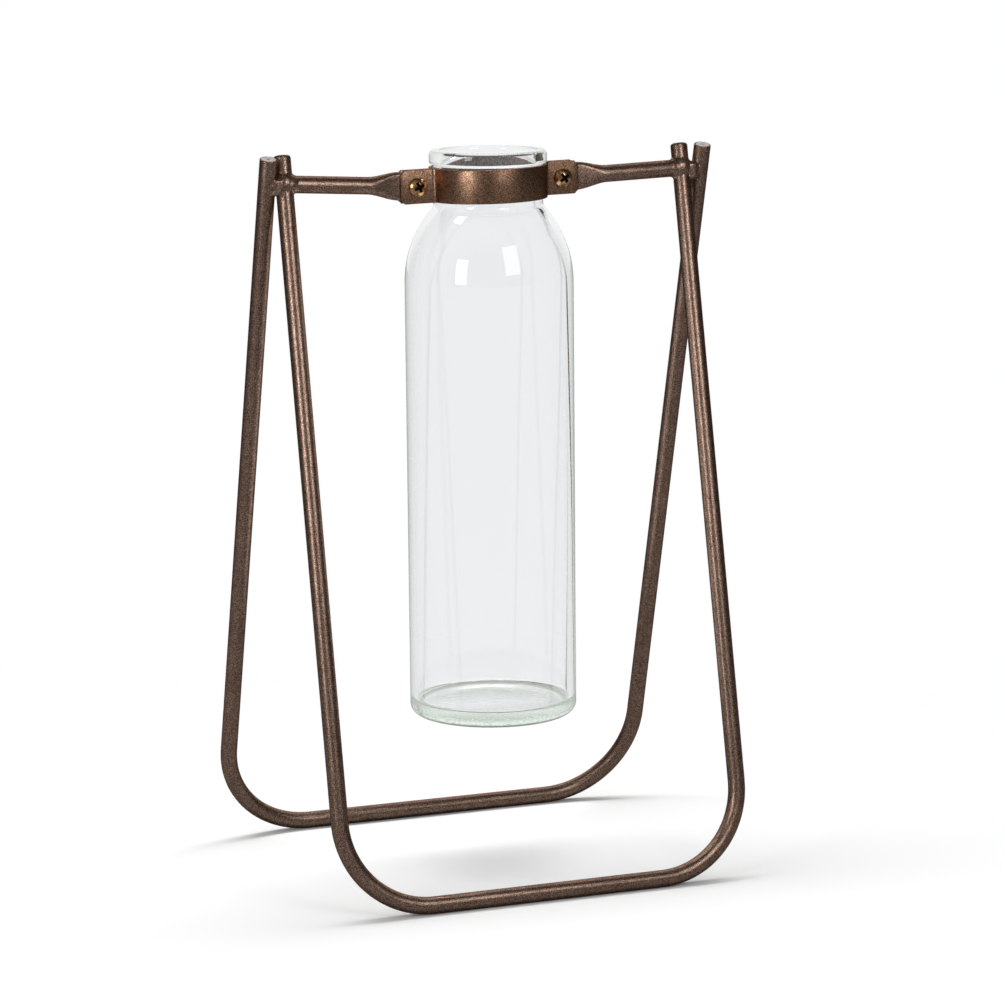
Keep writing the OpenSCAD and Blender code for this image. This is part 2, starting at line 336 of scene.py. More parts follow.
def powder_coat(name, dark, middle, bright):
    """Bronze powder coat, sprayed on steel and baked: satin, with a fine metallic sparkle."""
    mat, tree = new_material(name)
    # Turned, so that no flat face lies along the grid of the noise, where it's weak
    turned = add(tree, "ShaderNodeMapping", {"Vector": add(tree, "ShaderNodeTexCoord").outputs["Object"],
                                             "Rotation": (0.6, 0.4, 0.5)})
    place_at = turned.outputs["Vector"]
    # Specks about 0.25 mm wide, a little finer than one pixel of the photograph
    speck = add(tree, "ShaderNodeTexNoise", {"Vector": place_at, "Scale": 4200.0, "Detail": 2.0})
    cloud = add(tree, "ShaderNodeTexNoise", {"Vector": place_at, "Scale": 160.0, "Detail": 3.0})
    tint = add(tree, "ShaderNodeValToRGB", {"Fac": speck.outputs["Fac"]})
    stops = tint.color_ramp.elements
    stops[0].position, stops[0].color = 0.39, linear(dark)
    stops[1].position, stops[1].color = 0.63, linear(bright)
    stops.new(0.52).color = linear(middle)
    shade = add(tree, "ShaderNodeMixRGB", {"Fac": 0.35, "Color1": tint.outputs["Color"],
                                           "Color2": cloud.outputs["Fac"]}, blend_type="SOFT_LIGHT")
    rough = add(tree, "ShaderNodeMapRange", {"Value": speck.outputs["Fac"], "From Min": 0.3, "From Max": 0.7,
                                             "To Min": 0.42, "To Max": 0.3})
    bump = add(tree, "ShaderNodeBump", {"Height": speck.outputs["Fac"], "Strength": 0.35, "Distance": 0.08 * MM})
    shader = add(tree, "ShaderNodeBsdfPrincipled", {"Base Color": shade.outputs["Color"], "Metallic": 0.97,
                                                    "Specular Tint": (0.25, 0.2, 0.17, 1),
                                                    "Roughness": rough.outputs["Result"],
                                                    "Normal": bump.outputs["Normal"]})
    add(tree, "ShaderNodeOutputMaterial", {"Surface": shader.outputs["BSDF"]})
    return mat


def painted_shade_coat():
    """The coat inside the collar, made dark and dull as painted shade, where little light reaches."""
    mat, tree = new_material("thin_inner_coat")
    place_at = add(tree, "ShaderNodeTexCoord").outputs["Object"]
    speck = add(tree, "ShaderNodeTexNoise", {"Vector": place_at, "Scale": 2600.0, "Detail": 2.0})
    tint = add(tree, "ShaderNodeValToRGB", {"Fac": speck.outputs["Fac"]})
    stops = tint.color_ramp.elements
    stops[0].position, stops[0].color = 0.38, linear("#38302b")
    stops[1].position, stops[1].color = 0.64, linear("#8c7e74")
    shader = add(tree, "ShaderNodeBsdfPrincipled", {"Base Color": tint.outputs["Color"], "Metallic": 0.3,
                                                    "Roughness": 0.6})
    add(tree, "ShaderNodeOutputMaterial", {"Surface": shader.outputs["BSDF"]})
    return mat


def sawn_steel():
    """Mild steel rod where the saw went through it after coating: bare, grey and lightly scored."""
    mat, tree = new_material("sawn_mild_steel")
    place_at = add(tree, "ShaderNodeTexCoord").outputs["Object"]
    # Scores run along X, about 1 mm long and under 0.2 mm apart
    stretched = add(tree, "ShaderNodeMapping", {"Vector": place_at, "Scale": (900.0, 6000.0, 900.0)})
    score = add(tree, "ShaderNodeTexNoise", {"Vector": stretched.outputs["Vector"], "Scale": 1.0, "Detail": 4.0})
    tint = add(tree, "ShaderNodeValToRGB", {"Fac": score.outputs["Fac"]})
    stops = tint.color_ramp.elements
    stops[0].position, stops[0].color = 0.3, linear("#7a7373")
    stops[1].position, stops[1].color = 0.7, linear("#c8c0be")
    bump = add(tree, "ShaderNodeBump", {"Height": score.outputs["Fac"], "Strength": 0.4, "Distance": 0.05 * MM})
    shader = add(tree, "ShaderNodeBsdfPrincipled", {"Base Color": tint.outputs["Color"], "Metallic": 0.5,
                                                    "Roughness": 0.42, "Normal": bump.outputs["Normal"]})
    add(tree, "ShaderNodeOutputMaterial", {"Surface": shader.outputs["BSDF"]})
    return mat


def recess_dirt():
    """Painted shade for a screw's recess, where its depth keeps light out: nearly black, and dull."""
    mat, tree = new_material("recess_dirt")
    shader = add(tree, "ShaderNodeBsdfPrincipled", {"Base Color": linear("#1f0f07"), "Roughness": 0.8,
                                                    "Specular IOR Level": 0.2})
    add(tree, "ShaderNodeOutputMaterial", {"Surface": shader.outputs["BSDF"]})
    return mat


def yellow_zinc():
    """Yellow-passivated zinc plate on steel screws: bright gold with faint iridescent patches."""
    mat, tree = new_material("yellow_zinc_plate")
    place_at = add(tree, "ShaderNodeTexCoord").outputs["Object"]
    cloud = add(tree, "ShaderNodeTexNoise", {"Vector": place_at, "Scale": 420.0, "Detail": 3.0})
    tint = add(tree, "ShaderNodeValToRGB", {"Fac": cloud.outputs["Fac"]})
    stops = tint.color_ramp.elements
    stops[0].position, stops[0].color = 0.35, linear("#8f6a45")
    stops[1].position, stops[1].color = 0.65, linear("#ffd9a8")
    stops.new(0.5).color = linear("#d4a473")
    fine = add(tree, "ShaderNodeTexNoise", {"Vector": place_at, "Scale": 2500.0, "Detail": 2.0})
    bump = add(tree, "ShaderNodeBump", {"Height": fine.outputs["Fac"], "Strength": 0.2, "Distance": 0.03 * MM})
    shader = add(tree, "ShaderNodeBsdfPrincipled", {"Base Color": tint.outputs["Color"], "Metallic": 1.0,
                                                    "Roughness": 0.22, "Normal": bump.outputs["Normal"]})
    add(tree, "ShaderNodeOutputMaterial", {"Surface": shader.outputs["BSDF"]})
    return mat


def bottle_glass():
    """Soda-lime bottle glass, blown in a mould: clear, and green where the eye looks along it."""
    mat, tree = new_material("soda_lime_glass")
    place_at = add(tree, "ShaderNodeTexCoord").outputs["Object"]
    # The mould leaves long faint waves in the walls, and a stippled ring round the heel
    drawn = add(tree, "ShaderNodeMapping", {"Vector": place_at, "Scale": (70.0, 70.0, 7.0)})
    waves = add(tree, "ShaderNodeTexNoise", {"Vector": drawn.outputs["Vector"], "Scale": 1.0, "Detail": 1.0})
    wavy = add(tree, "ShaderNodeBump", {"Height": waves.outputs["Fac"], "Strength": 1.0, "Distance": 0.1 * MM})
    height = add(tree, "ShaderNodeSeparateXYZ", {"Vector": place_at}).outputs["Z"]
    low = add(tree, "ShaderNodeMapRange", {"Value": height, "From Min": BOTTLE_Z + STIPPLE_FADE[0],
                                           "From Max": BOTTLE_Z + STIPPLE_FADE[1], "To Min": 1.0, "To Max": 0.0},
              interpolation_type="SMOOTHSTEP")
    dots = add(tree, "ShaderNodeTexNoise", {"Vector": place_at, "Scale": 900.0, "Detail": 2.0})
    knurled = add(tree, "ShaderNodeBump", {"Height": dots.outputs["Fac"], "Strength": low.outputs["Result"],
                                           "Distance": 0.25 * MM, "Normal": wavy.outputs["Normal"]})
    # Where the heel turns under, the eye looks along the glass: a thin dark olive line closes the outline,
    # painted shade in the glass's colour for the dark surroundings seen along it
    middle = add(tree, "ShaderNodeMapping", {"Vector": place_at, "Location": (0, -HANG_Y, 0), "Scale": (1, 1, 0)})
    radius = add(tree, "ShaderNodeVectorMath", {0: middle.outputs["Vector"]}, operation="LENGTH")
    rim = add(tree, "ShaderNodeMapRange", {"Value": radius.outputs["Value"], "From Min": BEARING_R - PAINTED_LINE_INSIDE[0],
                                           "From Max": BEARING_R - PAINTED_LINE_INSIDE[1]})
    under = add(tree, "ShaderNodeMapRange", {"Value": height, "From Min": BOTTLE_Z + PAINTED_LINE_FADE[0],
                                             "From Max": BOTTLE_Z + PAINTED_LINE_FADE[1], "To Min": 1.0, "To Max": 0.0})
    painted_line = add(tree, "ShaderNodeMath", {0: rim.outputs["Result"], 1: under.outputs["Result"]}, operation="MULTIPLY")
    tint = add(tree, "ShaderNodeMix", {"Factor": painted_line.outputs[0], "A": (0.94, 0.943, 0.955, 1),
                                       "B": (0.12, 0.15, 0.08, 1)}, data_type="RGBA")
    shader = add(tree, "ShaderNodeBsdfPrincipled", {"Base Color": tint.outputs["Result"], "Transmission Weight": 1.0,
                                                    "Roughness": 0.0, "IOR": 1.52, "Normal": knurled.outputs["Normal"]})
    # Lamps shine through, less so where they graze a wall, so that the bottle throws the shadow of clear glass
    light_path = add(tree, "ShaderNodeLightPath")
    mirror = add(tree, "ShaderNodeFresnel", {"IOR": 1.52})
    passed = add(tree, "ShaderNodeMapRange", {"Value": mirror.outputs["Fac"], "To Min": 0.95, "To Max": 0.35})
    clear = add(tree, "ShaderNodeBsdfTransparent", {"Color": passed.outputs["Result"]})
    either = add(tree, "ShaderNodeMixShader", {"Fac": light_path.outputs["Is Shadow Ray"],
                                               1: shader.outputs["BSDF"], 2: clear.outputs["BSDF"]})
    # Where light is still caught in the thick base after three turns, the glass glows a painted grey-white,
    # standing in for the light that would come out in the end, as the white all round
    caught = add(tree, "ShaderNodeMath", {0: light_path.outputs["Glossy Depth"], 1: 2.5}, operation="GREATER_THAN")
    painted_glow = add(tree, "ShaderNodeEmission", {"Color": (0.62, 0.65, 0.6, 1), "Strength": 1.0})
    surface = add(tree, "ShaderNodeMixShader", {"Fac": caught.outputs[0], 1: either.outputs["Shader"],
                                                2: painted_glow.outputs["Emission"]})
    inside = add(tree, "ShaderNodeVolumeAbsorption", {"Color": (0.55, 0.85, 0.62, 1), "Density": 4.0})
    add(tree, "ShaderNodeOutputMaterial", {"Surface": surface.outputs["Shader"], "Volume": inside.outputs["Volume"]})
    return mat


# Leg frames


def rod_tree():
    """Geometry Nodes: a path with sharp corners becomes a rod, bent round each corner."""
    tree = bpy.data.node_groups.new("bent_rod", "GeometryNodeTree")
    face = tree.interface
    face.new_socket("Path", in_out="INPUT", socket_type="NodeSocketGeometry")
    for name, kind in (("Bend Radius", "Float"), ("Bend Steps", "Int"), ("Rod Radius", "Float"),
                       ("Sides", "Int"), ("Finish", "Material")):
        face.new_socket(name, in_out="INPUT", socket_type="NodeSocket" + kind)
    face.new_socket("Rod", in_out="OUTPUT", socket_type="NodeSocketGeometry")
    given = add(tree, "NodeGroupInput").outputs
    bent = add(tree, "GeometryNodeFilletCurve", {"Curve": given["Path"], "Count": given["Bend Steps"],
                                                 "Radius": given["Bend Radius"]}, mode="POLY")
    section = add(tree, "GeometryNodeCurvePrimitiveCircle", {"Resolution": given["Sides"],
                                                             "Radius": given["Rod Radius"]})
    rod = add(tree, "GeometryNodeCurveToMesh", {"Curve": bent.outputs["Curve"],
                                                "Profile Curve": section.outputs["Curve"], "Fill Caps": True})
    smooth = add(tree, "GeometryNodeSetShadeSmooth", {"Geometry": rod.outputs["Mesh"]})
    real = add(tree, "GeometryNodeRealizeInstances", {"Geometry": smooth.outputs["Geometry"]})
    painted = add(tree, "GeometryNodeSetMaterial", {"Geometry": real.outputs["Geometry"],
                                                    "Material": given["Finish"]})
    add(tree, "NodeGroupOutput", {"Rod": painted.outputs["Geometry"]})
    return tree


def set_inputs(modifier, **values):
    """Give a Geometry Nodes modifier its inputs by the names that its tree shows."""
    for item in modifier.node_group.interface.items_tree:
        key = item.name.replace(" ", "_").lower()
        if item.in_out == "INPUT" and key in values:
            modifier[item.identifier] = values[key]


def rounded_cap(bm, cap, radius, steps):
    """Round the rim of a rod's flat end, inwards."""
    normal = cap.normal.copy()
    bmesh.ops.translate(bm, verts=list(cap.verts), vec=-normal * radius)
    for i in range(steps):
        a, b = (math.pi / 2 * k / steps for k in (i, i + 1))
        bmesh.ops.inset_individual(bm, faces=[cap], thickness=radius * (math.cos(a) - math.cos(b)),
                                   depth=radius * (math.sin(b) - math.sin(a)))


def bare_cap(bm, cap, rng):
    """The bare disc inside a sawn end's ragged rim of coating, with the saw's dimple."""
    bmesh.ops.inset_individual(bm, faces=[cap], thickness=COAT_RIM)
    centre = cap.calc_center_median()
    waves = rng.uniform(0, FULL, 4)
    count = len(cap.verts)
    for i, vert in enumerate(cap.verts):
        turn = FULL * i / count
        wobble = sum(math.sin((k + 2) * turn + waves[k]) / (k + 1.5) for k in range(4))
        vert.co += (vert.co - centre).normalized() * COAT_RAGGED * wobble
    bmesh.ops.inset_individual(bm, faces=[cap], thickness=COAT_SLOPE, depth=COAT_STEP)
    cap.material_index = 1
    bmesh.ops.inset_individual(bm, faces=[cap], thickness=(ROD_R - COAT_RIM - DIMPLE_R) * FLAT_SHARE)
    bmesh.ops.inset_individual(bm, faces=[cap], thickness=DIMPLE_SLOPE, depth=-DIMPLE_DEPTH)


def frame_path(name, foot_y, shift, span, rises):
    """Curve down one leg, along the floor and up the other, with sharp corners."""
    foot = Vector((shift, foot_y, ROD_R))
    top = Vector((shift, HANG_Y, CROSSING_Z))
    along = (top - foot).normalized()
    length = (top - foot).length
    corners = []
    for side, rise in zip((-1, 1), rises):
        corners.append([foot + Vector((side * span / 2, 0, 0)) + along * s for s in (0, length + rise)])
    path = [corners[0][1], corners[0][0], corners[1][0], corners[1][1]]
    curve = bpy.data.curves.new(name, "CURVE")
    curve.dimensions = "3D"
    spline = curve.splines.new("POLY")
    spline.points.add(len(path) - 1)
    for point, co in zip(spline.points, path):
        point.co = (*co, 1)
    return new_object(name, curve)


def bent_frame(name, tree, foot_y, shift, span, bend_r, rises, coat, steel=None):
    """A rod bent into a U that stands on its run and leans to the crossing; with steel, its ends are sawn bare."""
    obj = frame_path(name, foot_y, shift, span, rises)
    modifier = obj.modifiers.new("rod", "NODES")
    modifier.node_group = tree
    set_inputs(modifier, bend_radius=bend_r, bend_steps=BEND_STEPS, rod_radius=ROD_R, sides=ROD_SIDES, finish=coat)
    obj = baked(obj)
    if steel is not None:
        obj.data.materials.append(steel)
    bm = bmesh.new()
    bm.from_mesh(obj.data)
    bmesh.ops.remove_doubles(bm, verts=bm.verts, dist=0.001 * MM)
    bmesh.ops.recalc_face_normals(bm, faces=bm.faces)
    rng = np.random.default_rng(RAGGED_SEED)
    for cap in [f for f in bm.faces if len(f.verts) > 4]:
        if steel is None:
            rounded_cap(bm, cap, COATED_EDGE_R, 6)
        else:
            rounded_cap(bm, cap, SAWN_EDGE_R, 3)
            bare_cap(bm, cap, rng)
    for face in bm.faces:
        face.smooth = True
    bm.to_mesh(obj.data)
    bm.free()
    sharpen(obj, 35)
    return obj


# Collar


def collar_path():
    """Right half of the front strip's middle line, from the ear's end round to the front."""
    mid_r = BAND_IN_R + STRIP_T / 2
    ear_y = -(FLAT_T + STRIP_T) / 2
    bend_mid_r = EAR_BEND_R + STRIP_T / 2
    bend_y = -(EAR_OUT_Y + EAR_BEND_R)
    bend_x = math.sqrt((BAND_OUT_R + EAR_BEND_R) ** 2 - bend_y ** 2)
    meet = math.degrees(math.atan2(-bend_y, bend_x))
    # From the ear's end: its edge is rounded over the first three, its corners are cut off over all five
    ends = (0, 0.08 * MM, EDGE_R, EAR_CHAMFER * 0.5, EAR_CHAMFER)
    path = [(EAR_REACH - s, ear_y) for s in ends]
    path += [(x, ear_y) for x in np.linspace(EAR_REACH - EAR_CHAMFER, bend_x, 12)[1:-1]]
    path += arc(bend_x, bend_y, bend_mid_r, 90, 180 - meet, 12)
    path += arc(0, 0, mid_r, -meet, -90, 72)[1:]
    return path


def strip_section(height, inset):
    """Rounded rectangle of the strip, as (out, up) points, with its edges drawn in by inset."""
    half_t, half_h = STRIP_T / 2 - inset, height / 2 - inset
    r = EDGE_R - inset * 0.5
    points = []
    for x, y, start in ((1, 1, 0), (-1, 1, 90), (-1, -1, 180), (1, -1, 270)):
        points += arc(x * (half_t - r), y * (half_h - r), r, start, start + 90, 4)
    return points


def collar_half(name, front, coat, inner_shade_coat):
    """Half of the collar with both its ears; front is 1 for the front half and -1 for the rear one."""
    right = collar_path()
    path = np.array(right + [(-x, y) for x, y in right[-2::-1]])
    tangent = np.gradient(path, axis=0)
    tangent /= np.linalg.norm(tangent, axis=1)[:, None]
    normal = np.stack([-tangent[:, 1], tangent[:, 0]], axis=1)
    rings = []
    for p, n in zip(path, normal):
        from_end = EAR_REACH - abs(p[0])
        cut = max(0.0, EAR_CHAMFER - from_end)
        inset = EDGE_R * (1 - math.sqrt(1 - (1 - min(1.0, from_end / EDGE_R)) ** 2))
        rings.append([(p[0] + n[0] * out, front * (p[1] + n[1] * out), up)
                      for out, up in strip_section(STRIP_H - 2 * cut, inset * 0.8)])
    obj = loft(name, rings, coat)
    # The inner faces take the dark coat of painted shade
    obj.data.materials.append(inner_shade_coat)
    for face in obj.data.polygons:
        if face.center.xy.length < BAND_IN_R + 0.1 * MM:
            face.material_index = 1
    place(obj, at_collar())
    sharpen(obj, 50)
    return obj


# Arms


def arm(name, side, coat):
    """An arm from its flattened end, between the ears, to where it's coped round the leg."""
    pivot = at_collar() @ Vector((side * SCREW_X, 0, 0))
    along = crossing(side) - pivot
    length = along.length
    along.normalize()
    up = Vector((-side * along.z, 0, side * along.x))
    start, flat_end = ARM_END_GAP - SCREW_GAP, EAR_MARGIN
    stations = [start, flat_end * 0.5]
    stations += list(np.linspace(flat_end, flat_end + FLARE_L, 33))
    stations += list(np.linspace(flat_end + FLARE_L, length, 8)[1:])
    lean = math.atan2(STANCE / 2 + HANG_Y, CROSSING_Z - ROD_R)
    rings = []
    for s in stations:
        t = min(1.0, max(0.0, (s - flat_end) / FLARE_L))
        thick = FLAT_T + (2 * ROD_R - FLAT_T) * ease(t)
        wide = FLAT_W + (2 * ROD_R - FLAT_W) * ease(t)
        ring = []
        for i in range(ROD_SIDES):
            a = FULL * (i + 0.5) / ROD_SIDES
            y = thick / 2 * math.cos(a)
            z = thick / 2 * math.sin(a) + math.copysign((wide - thick) / 2, math.sin(a))
            x = s
            if s == stations[-1]:
                # The cope: back from the leg's axis nearly to the leg's skin
                across = y * math.cos(lean) - z * math.sin(lean)
                x = s - math.sqrt(max(0.0, ROD_R ** 2 - across ** 2)) * COPE_SHARE
            ring.append(pivot + along * x + Vector((0, y, 0)) + up * z)
        rings.append(ring)
    obj = loft(name, rings, coat)
    sharpen(obj, 50)
    return obj


# Welds


def rod_between(bm, start, end, radius):
    """Add a closed cylinder from one point to another."""
    axis = end - start
    turn = axis.to_track_quat("Z", "Y").to_matrix().to_4x4()
    matrix = Matrix.Translation((start + end) / 2) @ turn
    bmesh.ops.create_cone(bm, cap_ends=True, segments=32, radius1=radius, radius2=radius,
                          depth=axis.length, matrix=matrix)


def weld_core(side):
    """Closed shapes that overlap, for the weld's skin to run over: lengths of rod, beads, post and web."""
    joint = crossing(side)
    rear_x = side * REAR_SPAN / 2
    arm_dir = (at_collar() @ Vector((side * SCREW_X, 0, 0)) - joint).normalized()
    bm = bmesh.new()
    for x, foot_y in ((joint.x, -STANCE / 2), (rear_x, STANCE / 2)):
        foot = Vector((x, foot_y, ROD_R))
        top = Vector((x, HANG_Y, CROSSING_Z))
        along = (top - foot).normalized()
        rod_between(bm, top - along * WELD_BELOW, top + along * WELD_ABOVE, ROD_R)
    rod_between(bm, joint, joint + arm_dir * WELD_ON_ARM, ROD_R)
    bmesh.ops.create_uvsphere(bm, u_segments=32, v_segments=16, radius=TOE_R,
                              matrix=Matrix.Translation(joint + arm_dir * TOE_OUT))
    # A post between the two legs, and a web in front of it from the arm to the rear leg
    post = Vector(((joint.x + rear_x) / 2, HANG_Y - POST_FORWARD, CROSSING_Z - POST_DROP))
    half = Vector((0, 0, POST_HALF_H))
    rod_between(bm, post - half, post + half, POST_R)
    forward = Vector((0, -WEB_FORWARD, 0))
    web_start = joint + arm_dir * WEB_OUT + forward
    web_end = Vector((rear_x, HANG_Y, CROSSING_Z - WEB_DROP)) + forward * 0.5
    rod_between(bm, web_start, web_end, WEB_R)
    bead = Matrix.Translation(joint) @ Matrix.Diagonal((*BEAD_RADII_MM, 1))
    bmesh.ops.create_icosphere(bm, subdivisions=4, radius=MM, matrix=bead)
    return bm


def weld(name, side, coat):
    """Weld metal that fills the corners between the arm and both legs, as it does when it has run."""
    obj = new_object(name, mesh_from(weld_core(side), name), coat)
    remesh = obj.modifiers.new("skin", "REMESH")
    remesh.mode = "VOXEL"
    remesh.voxel_size = SKIN_GRID
    smooth = obj.modifiers.new("run", "SMOOTH")
    smooth.factor = 0.5
    smooth.iterations = 36
    obj = baked(obj)
    outward(obj.data)
    return obj


# Screws and nuts


def screw_head(zinc):
    """Pan head, as turned, before its recess is cut; its seat is at z = 0."""
    side_h = HEAD_H * HEAD_SIDE_SHARE
    crown_h = HEAD_H - side_h
    crown_r = ((HEAD_D / 2) ** 2 + crown_h ** 2) / (2 * crown_h)
    angle = math.degrees(math.asin(HEAD_D / 2 / crown_r))
    # The side stops short of the crown and the crown short of the side, which leaves a small chamfer
    profile = [(0, 0), (HEAD_D / 2 - HEAD_EDGE, 0), (HEAD_D / 2, HEAD_EDGE), (HEAD_D / 2, side_h * 0.8)]
    profile += arc(0, HEAD_H - crown_r, crown_r, 90 - angle * 0.97, 90, 14)
    profile[-1] = (0, HEAD_H)
    return lathe("head", profile, 64, zinc)


def cross_punch(turn, recess_shade):
    """Cross-shaped punch with drafted wings, narrow at the recess's bottom and wide above the head."""
    reach, half_wing, depth = HEAD_D * RECESS_REACH_SHARE, HEAD_D * RECESS_WING_SHARE, HEAD_H * RECESS_DEPTH_SHARE
    corners = [(reach, half_wing), (half_wing, half_wing), (half_wing, reach)]
    outline = [Vector((x, y, 0)) for x, y in corners]
    for quarter in range(1, 4):
        spin = Matrix.Rotation(quarter * math.pi / 2, 4, "Z")
        outline += [spin @ p for p in outline[:3]]
    rings = []
    # The outline's height and scale at the punch's narrow and at its wide end
    for z, grow in ((HEAD_H - depth, 0.66), (HEAD_H + 0.2 * MM, 1.06)):
        place_it = Matrix.Translation((0, 0, z)) @ Matrix.Rotation(turn, 4, "Z") @ Matrix.Scale(grow, 4)
        rings.append([place_it @ p for p in outline])
    # The punch's faces carry the painted shade into the recess
    return loft("punch", rings, recess_shade)


def thread_tree():
    """Geometry Nodes: a plain shank with a helical thread ridge round it, along +Z."""
    tree = bpy.data.node_groups.new("threaded_shank", "GeometryNodeTree")
    face = tree.interface
    for name, kind in (("Radius", "Float"), ("Pitch", "Float"), ("Length", "Float"), ("Finish", "Material")):
        face.new_socket(name, in_out="INPUT", socket_type="NodeSocket" + kind)
    face.new_socket("Shank", in_out="OUTPUT", socket_type="NodeSocketGeometry")
    given = add(tree, "NodeGroupInput").outputs
    turns = add(tree, "ShaderNodeMath", {0: given["Length"], 1: given["Pitch"]}, operation="DIVIDE")
    ridge_r = add(tree, "ShaderNodeMath", {0: given["Pitch"], 1: RIDGE_SHARE}, operation="MULTIPLY")
    path_r = add(tree, "ShaderNodeMath", {0: given["Radius"], 1: ridge_r.outputs[0]}, operation="SUBTRACT")
    helix = add(tree, "GeometryNodeCurveSpiral", {"Resolution": 40, "Rotations": turns.outputs[0],
                                                  "Start Radius": path_r.outputs[0],
                                                  "End Radius": path_r.outputs[0], "Height": given["Length"]})
    section = add(tree, "GeometryNodeCurvePrimitiveCircle", {"Resolution": 6, "Radius": ridge_r.outputs[0]})
    ridge = add(tree, "GeometryNodeCurveToMesh", {"Curve": helix.outputs["Curve"],
                                                  "Profile Curve": section.outputs["Curve"], "Fill Caps": True})
    core = add(tree, "GeometryNodeMeshCylinder", {"Vertices": 40, "Radius": path_r.outputs[0],
                                                  "Depth": given["Length"]})
    half = add(tree, "ShaderNodeMath", {0: given["Length"], 1: 0.5}, operation="MULTIPLY")
    lift = add(tree, "ShaderNodeCombineXYZ", {"Z": half.outputs[0]})
    lifted = add(tree, "GeometryNodeTransform", {"Geometry": core.outputs["Mesh"],
                                                 "Translation": lift.outputs["Vector"]})
    both = add(tree, "GeometryNodeJoinGeometry")
    for part in (ridge.outputs["Mesh"], lifted.outputs["Geometry"]):
        tree.links.new(part, both.inputs["Geometry"])
    real = add(tree, "GeometryNodeRealizeInstances", {"Geometry": both.outputs["Geometry"]})
    plated = add(tree, "GeometryNodeSetMaterial", {"Geometry": real.outputs["Geometry"],
                                                   "Material": given["Finish"]})
    add(tree, "NodeGroupOutput", {"Shank": plated.outputs["Geometry"]})
    return tree


def joined(name, objects):
    """One mesh from several objects, which are removed; every material is one of the first object's."""
    bm = bmesh.new()
    materials = list(objects[0].data.materials)
    for obj in objects:
        first_new = len(bm.faces)
        bm.from_mesh(obj.data)
        bm.faces.ensure_lookup_table()
        for face in bm.faces[first_new:]:
            face.material_index = materials.index(obj.data.materials[face.material_index])
        bpy.data.objects.remove(obj)
    mesh = mesh_from(bm, name)
    for material in materials:
        mesh.materials.append(material)
    return new_object(name, mesh)


def cut_with(obj, tool, operation):
    """Cut an object's mesh with a tool, which is removed."""
    cut = obj.modifiers.new("cut", "BOOLEAN")
    cut.operation = operation
    cut.solver = "EXACT"
    cut.object = tool
    obj = baked(obj)
    bpy.data.objects.remove(tool)
    return obj


def screw(name, side, turn, tree, zinc, recess_shade):
    """Pan-head screw with its recess turned by turn, its thread and its end past the nut."""
    head = screw_head(zinc)
    outward(head.data)
    head.data.materials.append(recess_shade)
    head = cut_with(head, cross_punch(turn, recess_shade), "DIFFERENCE")
    place(head, Matrix.Translation((0, 0, EAR_OUT_Y)))
    shank = new_object("shank", bpy.data.meshes.new("shank"))
    modifier = shank.modifiers.new("thread", "NODES")
    modifier.node_group = tree
    length = 2 * EAR_OUT_Y + NUT_H + SCREW_OUT
    set_inputs(modifier, radius=SCREW_D / 2, pitch=THREAD_PITCH, length=length, finish=zinc)
    shank = baked(shank)
    place(shank, Matrix.Translation((0, 0, EAR_OUT_Y - length)))
    obj = joined(name, [head, shank])
    place(obj, at_screw(side))
    sharpen(obj, 30)
    return obj


def nut(name, side, zinc):
    """Hex nut with both faces turned down at the corners."""
    corner_r = NUT_W / math.cos(math.pi / 6) / 2
    bevel = NUT_H * NUT_BEVEL_SHARE
    profile = [(0, 0), (NUT_W / 2, 0), (corner_r, bevel), (corner_r, NUT_H - bevel), (NUT_W / 2, NUT_H), (0, NUT_H)]
    obj = lathe(name, profile, 96, zinc)
    outward(obj.data)
    bm = bmesh.new()
    bmesh.ops.create_cone(bm, cap_ends=True, segments=6, radius1=corner_r, radius2=corner_r, depth=3 * NUT_H)
    obj = cut_with(obj, new_object("hexagon", mesh_from(bm, "hexagon")), "INTERSECT")
    place(obj, at_screw(side) @ Matrix.Translation((0, 0, -EAR_OUT_Y - NUT_H)))
    sharpen(obj, 30)
    return obj


# Bottle


